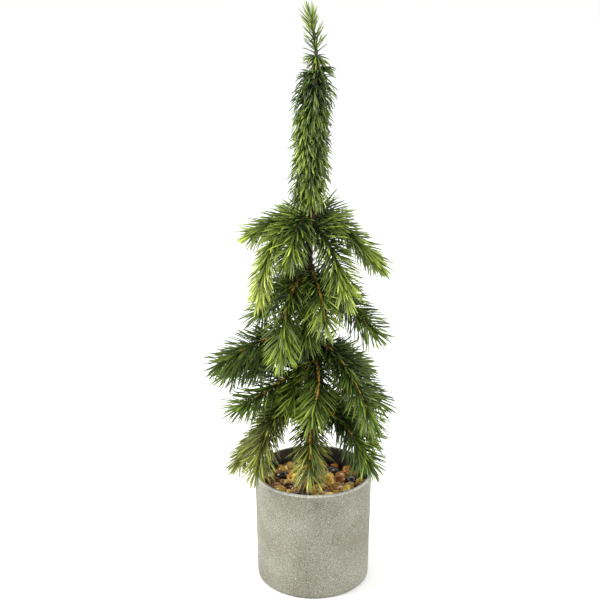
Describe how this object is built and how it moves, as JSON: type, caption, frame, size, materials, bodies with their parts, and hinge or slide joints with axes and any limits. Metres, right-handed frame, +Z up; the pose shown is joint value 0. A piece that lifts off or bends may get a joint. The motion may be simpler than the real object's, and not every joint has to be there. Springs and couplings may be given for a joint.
{
  "type": "artificial tabletop tree",
  "caption": "Slender weeping artificial spruce with bendable wired branches in whorls, a pole of folded sprigs and an upright leader, cast into a round pot topped with pebbles.",
  "frame": {"origin": "middle of the pot's underside, on the surface it stands on", "axes": "+Z up along the trunk, -Y is the front, +X is to the right seen from the front"},
  "size_m": [0.1746, 0.1414, 0.5502],
  "materials": {
    "pot_coating": "matt, fine sandy cement-look coating outside and on the rim, plain black inside",
    "plaster": "rough cast plaster",
    "pebbles": "polished, glossy river pebbles, ochre to brown",
    "rod_steel": "plain drawn wire",
    "bark_tape": "matt purple-brown crinkled paper tape",
    "binding_tape": "matt brown waxed paper tape",
    "crown_needles": "satin moulded needles, fresh yellow-green",
    "upper_needles": "satin moulded needles, mid green",
    "lower_needles": "satin moulded needles, deep bluish green",
    "bottom_needles": "satin moulded needles, mid green",
    "sprig_needles": "satin moulded needles, deep green with fresh ends",
    "leader_needles": "satin moulded needles, fresh yellow-green"
  },
  "bodies": {
    "potted_trunk": {"pot": "pot_coating", "filler_block": "plaster", "pebble_bed": "pebbles", "trunk_rod": "rod_steel", "trunk_wrap": "bark_tape", "bottom_binding": "binding_tape", "lower_binding": "binding_tape", "upper_binding": "binding_tape", "crown_binding": "binding_tape", "pole_binding_1": "binding_tape", "pole_binding_2": "binding_tape", "pole_binding_3": "binding_tape"},
    "bottom_branch_1": {"bottom_branch_1": "bottom_needles"},
    "bottom_branch_2": {"bottom_branch_2": "bottom_needles"},
    "bottom_branch_3": {"bottom_branch_3": "bottom_needles"},
    "bottom_branch_4": {"bottom_branch_4": "bottom_needles"},
    "bottom_branch_5": {"bottom_branch_5": "bottom_needles"},
    "bottom_branch_6": {"bottom_branch_6": "bottom_needles"},
    "bottom_branch_7": {"bottom_branch_7": "bottom_needles"},
    "bottom_branch_8": {"bottom_branch_8": "bottom_needles"},
    "lower_branch_1": {"lower_branch_1": "lower_needles"},
    "lower_branch_10": {"lower_branch_10": "lower_needles"},
    "lower_branch_2": {"lower_branch_2": "lower_needles"},
    "lower_branch_3": {"lower_branch_3": "lower_needles"},
    "lower_branch_4": {"lower_branch_4": "lower_needles"},
    "lower_branch_5": {"lower_branch_5": "lower_needles"},
    "lower_branch_6": {"lower_branch_6": "lower_needles"},
    "lower_branch_7": {"lower_branch_7": "lower_needles"},
    "lower_branch_8": {"lower_branch_8": "lower_needles"},
    "lower_branch_9": {"lower_branch_9": "lower_needles"},
    "upper_branch_1": {"upper_branch_1": "upper_needles"},
    "upper_branch_2": {"upper_branch_2": "upper_needles"},
    "upper_branch_3": {"upper_branch_3": "upper_needles"},
    "upper_branch_4": {"upper_branch_4": "upper_needles"},
    "upper_branch_5": {"upper_branch_5": "upper_needles"},
    "upper_branch_6": {"upper_branch_6": "upper_needles"},
    "upper_branch_7": {"upper_branch_7": "upper_needles"},
    "crown_branch_1": {"crown_branch_1": "crown_needles"},
    "crown_branch_2": {"crown_branch_2": "crown_needles"},
    "crown_branch_3": {"crown_branch_3": "crown_needles"},
    "crown_branch_4": {"crown_branch_4": "crown_needles"},
    "crown_branch_5": {"crown_branch_5": "crown_needles"},
    "crown_branch_6": {"crown_branch_6": "crown_needles"},
    "crown_branch_7": {"crown_branch_7": "crown_needles"},
    "crown_branch_8": {"crown_branch_8": "crown_needles"},
    "crown_branch_9": {"crown_branch_9": "crown_needles"},
    "pole_sprig_1": {"pole_sprig_1": "sprig_needles"},
    "pole_sprig_2": {"pole_sprig_2": "sprig_needles"},
    "pole_sprig_3": {"pole_sprig_3": "sprig_needles"},
    "pole_sprig_4": {"pole_sprig_4": "sprig_needles"},
    "pole_sprig_5": {"pole_sprig_5": "sprig_needles"},
    "pole_sprig_6": {"pole_sprig_6": "sprig_needles"},
    "pole_sprig_7": {"pole_sprig_7": "sprig_needles"},
    "pole_sprig_8": {"pole_sprig_8": "sprig_needles"},
    "pole_sprig_9": {"pole_sprig_9": "sprig_needles"},
    "pole_sprig_10": {"pole_sprig_10": "sprig_needles"},
    "pole_sprig_11": {"pole_sprig_11": "sprig_needles"},
    "pole_sprig_12": {"pole_sprig_12": "sprig_needles"},
    "leader": {"leader": "leader_needles"}
  },
  "joints": [
    {"name": "bottom_branch_1_bend", "type": "hinge", "parent": "potted_trunk", "child": "bottom_branch_1", "pos_m": [-0.00998, -0.00144, 0.184], "axis": [-0.1736, 0.9848, 0], "range_deg": [-8, 45]},
    {"name": "bottom_branch_2_bend", "type": "hinge", "parent": "potted_trunk", "child": "bottom_branch_2", "pos_m": [-0.00823, -0.00529, 0.19], "axis": [-0.6428, 0.766, 0], "range_deg": [-6, 20]},
    {"name": "bottom_branch_3_bend", "type": "hinge", "parent": "potted_trunk", "child": "bottom_branch_3", "pos_m": [-0.00204, -0.00829, 0.18], "axis": [-0.9994, 0.0349, 0], "range_deg": [-8, 20]},
    {"name": "bottom_branch_4_bend", "type": "hinge", "parent": "potted_trunk", "child": "bottom_branch_4", "pos_m": [0.00474, -0.0051, 0.182], "axis": [-0.6157, -0.788, 0], "range_deg": [-12, 35]},
    {"name": "bottom_branch_5_bend", "type": "hinge", "parent": "potted_trunk", "child": "bottom_branch_5", "pos_m": [0.0066, -0.00044, 0.178], "axis": [-0.0523, -0.9986, 0], "range_deg": [-20, 45]},
    {"name": "bottom_branch_6_bend", "type": "hinge", "parent": "potted_trunk", "child": "bottom_branch_6", "pos_m": [0.00412, 0.00575, 0.184], "axis": [0.6947, -0.7193, 0], "range_deg": [-20, 30]},
    {"name": "bottom_branch_7_bend", "type": "hinge", "parent": "potted_trunk", "child": "bottom_branch_7", "pos_m": [-0.00204, 0.00829, 0.18], "axis": [0.9994, 0.0349, 0], "range_deg": [-20, 45]},
    {"name": "bottom_branch_8_bend", "type": "hinge", "parent": "potted_trunk", "child": "bottom_branch_8", "pos_m": [-0.008, 0.00552, 0.186], "axis": [0.6691, 0.7431, 0], "range_deg": [-20, 40]},
    {"name": "lower_branch_1_bend", "type": "hinge", "parent": "potted_trunk", "child": "lower_branch_1", "pos_m": [-0.01122, -0.00109, 0.25], "axis": [-0.1392, 0.9903, 0], "range_deg": [-20, 45]},
    {"name": "lower_branch_10_bend", "type": "hinge", "parent": "potted_trunk", "child": "lower_branch_10", "pos_m": [-0.01068, 0.00164, 0.238], "axis": [0.2079, 0.9781, 0], "range_deg": [-20, 30]},
    {"name": "lower_branch_2_bend", "type": "hinge", "parent": "potted_trunk", "child": "lower_branch_2", "pos_m": [-0.00941, -0.00364, 0.218], "axis": [-0.454, 0.891, 0], "range_deg": [-12, 45]},
    {"name": "lower_branch_3_bend", "type": "hinge", "parent": "potted_trunk", "child": "lower_branch_3", "pos_m": [-0.00046, -0.00763, 0.23], "axis": [-0.9613, -0.2756, 0], "range_deg": [-13, 45]},
    {"name": "lower_branch_4_bend", "type": "hinge", "parent": "potted_trunk", "child": "lower_branch_4", "pos_m": [0.00458, -0.0019, 0.24], "axis": [-0.2419, -0.9703, 0], "range_deg": [-19, 40]},
    {"name": "lower_branch_5_bend", "type": "hinge", "parent": "potted_trunk", "child": "lower_branch_5", "pos_m": [0.0024, -0.00534, 0.246], "axis": [-0.682, -0.7314, 0], "range_deg": [-13, 45]},
    {"name": "lower_branch_6_bend", "type": "hinge", "parent": "potted_trunk", "child": "lower_branch_6", "pos_m": [0.00278, 0.0057, 0.232], "axis": [0.7193, -0.6947, 0], "range_deg": [-18, 40]},
    {"name": "lower_branch_7_bend", "type": "hinge", "parent": "potted_trunk", "child": "lower_branch_7", "pos_m": [-0.00396, 0.00781, 0.242], "axis": [0.9945, 0.1045, 0], "range_deg": [-18, 30]},
    {"name": "lower_branch_8_bend", "type": "hinge", "parent": "potted_trunk", "child": "lower_branch_8", "pos_m": [-0.00928, 0.00464, 0.236], "axis": [0.5878, 0.809, 0], "range_deg": [-20, 45]},
    {"name": "lower_branch_9_bend", "type": "hinge", "parent": "potted_trunk", "child": "lower_branch_9", "pos_m": [-0.00637, -0.00693, 0.222], "axis": [-0.866, 0.5, 0], "range_deg": [-10, 45]},
    {"name": "upper_branch_1_bend", "type": "hinge", "parent": "potted_trunk", "child": "upper_branch_1", "pos_m": [-0.00242, -0.00691, 0.312], "axis": [-0.9397, -0.342, 0], "range_deg": [-19, 45]},
    {"name": "upper_branch_2_bend", "type": "hinge", "parent": "potted_trunk", "child": "upper_branch_2", "pos_m": [-0.01193, 0.00227, 0.312], "axis": [0.309, 0.9511, 0], "range_deg": [-19, 45]},
    {"name": "upper_branch_3_bend", "type": "hinge", "parent": "potted_trunk", "child": "upper_branch_3", "pos_m": [0.00206, -0.00229, 0.302], "axis": [-0.309, -0.9511, 0], "range_deg": [-20, 45]},
    {"name": "upper_branch_4_bend", "type": "hinge", "parent": "potted_trunk", "child": "upper_branch_4", "pos_m": [-0.00844, -0.00652, 0.308], "axis": [-0.8829, 0.4695, 0], "range_deg": [-16, 35]},
    {"name": "upper_branch_5_bend", "type": "hinge", "parent": "potted_trunk", "child": "upper_branch_5", "pos_m": [0.00015, 0.00533, 0.304], "axis": [0.7193, -0.6947, 0], "range_deg": [-20, 45]},
    {"name": "upper_branch_6_bend", "type": "hinge", "parent": "potted_trunk", "child": "upper_branch_6", "pos_m": [-0.006, 0.00731, 0.308], "axis": [0.9903, 0.1392, 0], "range_deg": [-16, 45]},
    {"name": "upper_branch_7_bend", "type": "hinge", "parent": "potted_trunk", "child": "upper_branch_7", "pos_m": [-0.00549, -0.00746, 0.294], "axis": [-0.9976, 0.0698, 0], "range_deg": [-14, 45]},
    {"name": "crown_branch_1_bend", "type": "hinge", "parent": "potted_trunk", "child": "crown_branch_1", "pos_m": [-0.01102, 0.00097, 0.364], "axis": [0.1392, 0.9903, 0], "range_deg": [-20, 45]},
    {"name": "crown_branch_2_bend", "type": "hinge", "parent": "potted_trunk", "child": "crown_branch_2", "pos_m": [-0.01023, -0.0035, 0.36], "axis": [-0.5, 0.866, 0], "range_deg": [-8, 45]},
    {"name": "crown_branch_3_bend", "type": "hinge", "parent": "potted_trunk", "child": "crown_branch_3", "pos_m": [-0.00727, -0.00622, 0.364], "axis": [-0.891, 0.454, 0], "range_deg": [-6, 45]},
    {"name": "crown_branch_4_bend", "type": "hinge", "parent": "potted_trunk", "child": "crown_branch_4", "pos_m": [0.00031, -0.00539, 0.356], "axis": [-0.766, -0.6428, 0], "range_deg": [-16, 45]},
    {"name": "crown_branch_5_bend", "type": "hinge", "parent": "potted_trunk", "child": "crown_branch_5", "pos_m": [0.00277, -0.00121, 0.363], "axis": [-0.1736, -0.9848, 0], "range_deg": [-20, 45]},
    {"name": "crown_branch_6_bend", "type": "hinge", "parent": "potted_trunk", "child": "crown_branch_6", "pos_m": [0.00058, 0.00518, 0.366], "axis": [0.7431, -0.6691, 0], "range_deg": [-20, 45]},
    {"name": "crown_branch_7_bend", "type": "hinge", "parent": "potted_trunk", "child": "crown_branch_7", "pos_m": [-0.00416, 0.00701, 0.36], "axis": [1, 0, 0], "range_deg": [-20, 45]},
    {"name": "crown_branch_8_bend", "type": "hinge", "parent": "potted_trunk", "child": "crown_branch_8", "pos_m": [-0.00857, 0.00534, 0.365], "axis": [0.766, 0.6428, 0], "range_deg": [-20, 45]},
    {"name": "crown_branch_9_bend", "type": "hinge", "parent": "potted_trunk", "child": "crown_branch_9", "pos_m": [-0.00917, -0.00508, 0.353], "axis": [-0.7193, 0.6947, 0], "range_deg": [-20, 10]},
    {"name": "pole_sprig_1_bend", "type": "hinge", "parent": "potted_trunk", "child": "pole_sprig_1", "pos_m": [0.00124, -0.00494, 0.49221], "axis": [-0.9945, -0.1045, 0], "range_deg": [0, 35]},
    {"name": "pole_sprig_2_bend", "type": "hinge", "parent": "potted_trunk", "child": "pole_sprig_2", "pos_m": [0.00593, 0.00052, 0.4955], "axis": [0.1045, -0.9945, 0], "range_deg": [0, 35]},
    {"name": "pole_sprig_3_bend", "type": "hinge", "parent": "potted_trunk", "child": "pole_sprig_3", "pos_m": [-0.00033, 0.00498, 0.48562], "axis": [0.9945, 0.1045, 0], "range_deg": [0, 35]},
    {"name": "pole_sprig_4_bend", "type": "hinge", "parent": "potted_trunk", "child": "pole_sprig_4", "pos_m": [-0.00437, -0.00052, 0.49056], "axis": [-0.1045, 0.9945, 0], "range_deg": [0, 35]},
    {"name": "pole_sprig_5_bend", "type": "hinge", "parent": "potted_trunk", "child": "pole_sprig_5", "pos_m": [0.00246, -0.00327, 0.45926], "axis": [-0.6293, -0.7771, 0], "range_deg": [0, 35]},
    {"name": "pole_sprig_6_bend", "type": "hinge", "parent": "potted_trunk", "child": "pole_sprig_6", "pos_m": [0.00204, 0.00402, 0.46255], "axis": [0.7771, -0.6293, 0], "range_deg": [0, 35]},
    {"name": "pole_sprig_7_bend", "type": "hinge", "parent": "potted_trunk", "child": "pole_sprig_7", "pos_m": [-0.00636, 0.0033, 0.45267], "axis": [0.6293, 0.7771, 0], "range_deg": [0, 35]},
    {"name": "pole_sprig_8_bend", "type": "hinge", "parent": "potted_trunk", "child": "pole_sprig_8", "pos_m": [-0.00505, -0.00405, 0.45761], "axis": [-0.7771, 0.6293, 0], "range_deg": [0, 35]},
    {"name": "pole_sprig_9_bend", "type": "hinge", "parent": "potted_trunk", "child": "pole_sprig_9", "pos_m": [0.00227, 0.00057, 0.42631], "axis": [0.1045, -0.9945, 0], "range_deg": [0, 35]},
    {"name": "pole_sprig_10_bend", "type": "hinge", "parent": "potted_trunk", "child": "pole_sprig_10", "pos_m": [-0.00364, 0.00538, 0.4296], "axis": [0.9945, 0.1045, 0], "range_deg": [0, 35]},
    {"name": "pole_sprig_11_bend", "type": "hinge", "parent": "potted_trunk", "child": "pole_sprig_11", "pos_m": [-0.00872, -0.00057, 0.41972], "axis": [-0.1045, 0.9945, 0], "range_deg": [0, 35]},
    {"name": "pole_sprig_12_bend", "type": "hinge", "parent": "potted_trunk", "child": "pole_sprig_12", "pos_m": [-0.00259, -0.00542, 0.42466], "axis": [-0.9945, -0.1045, 0], "range_deg": [0, 35]},
    {"name": "leader_bend", "type": "hinge", "parent": "potted_trunk", "child": "leader", "pos_m": [0.0014, 0, 0.5019], "axis": [0, 1, 0], "range_deg": [-30, 30]}
  ]
}
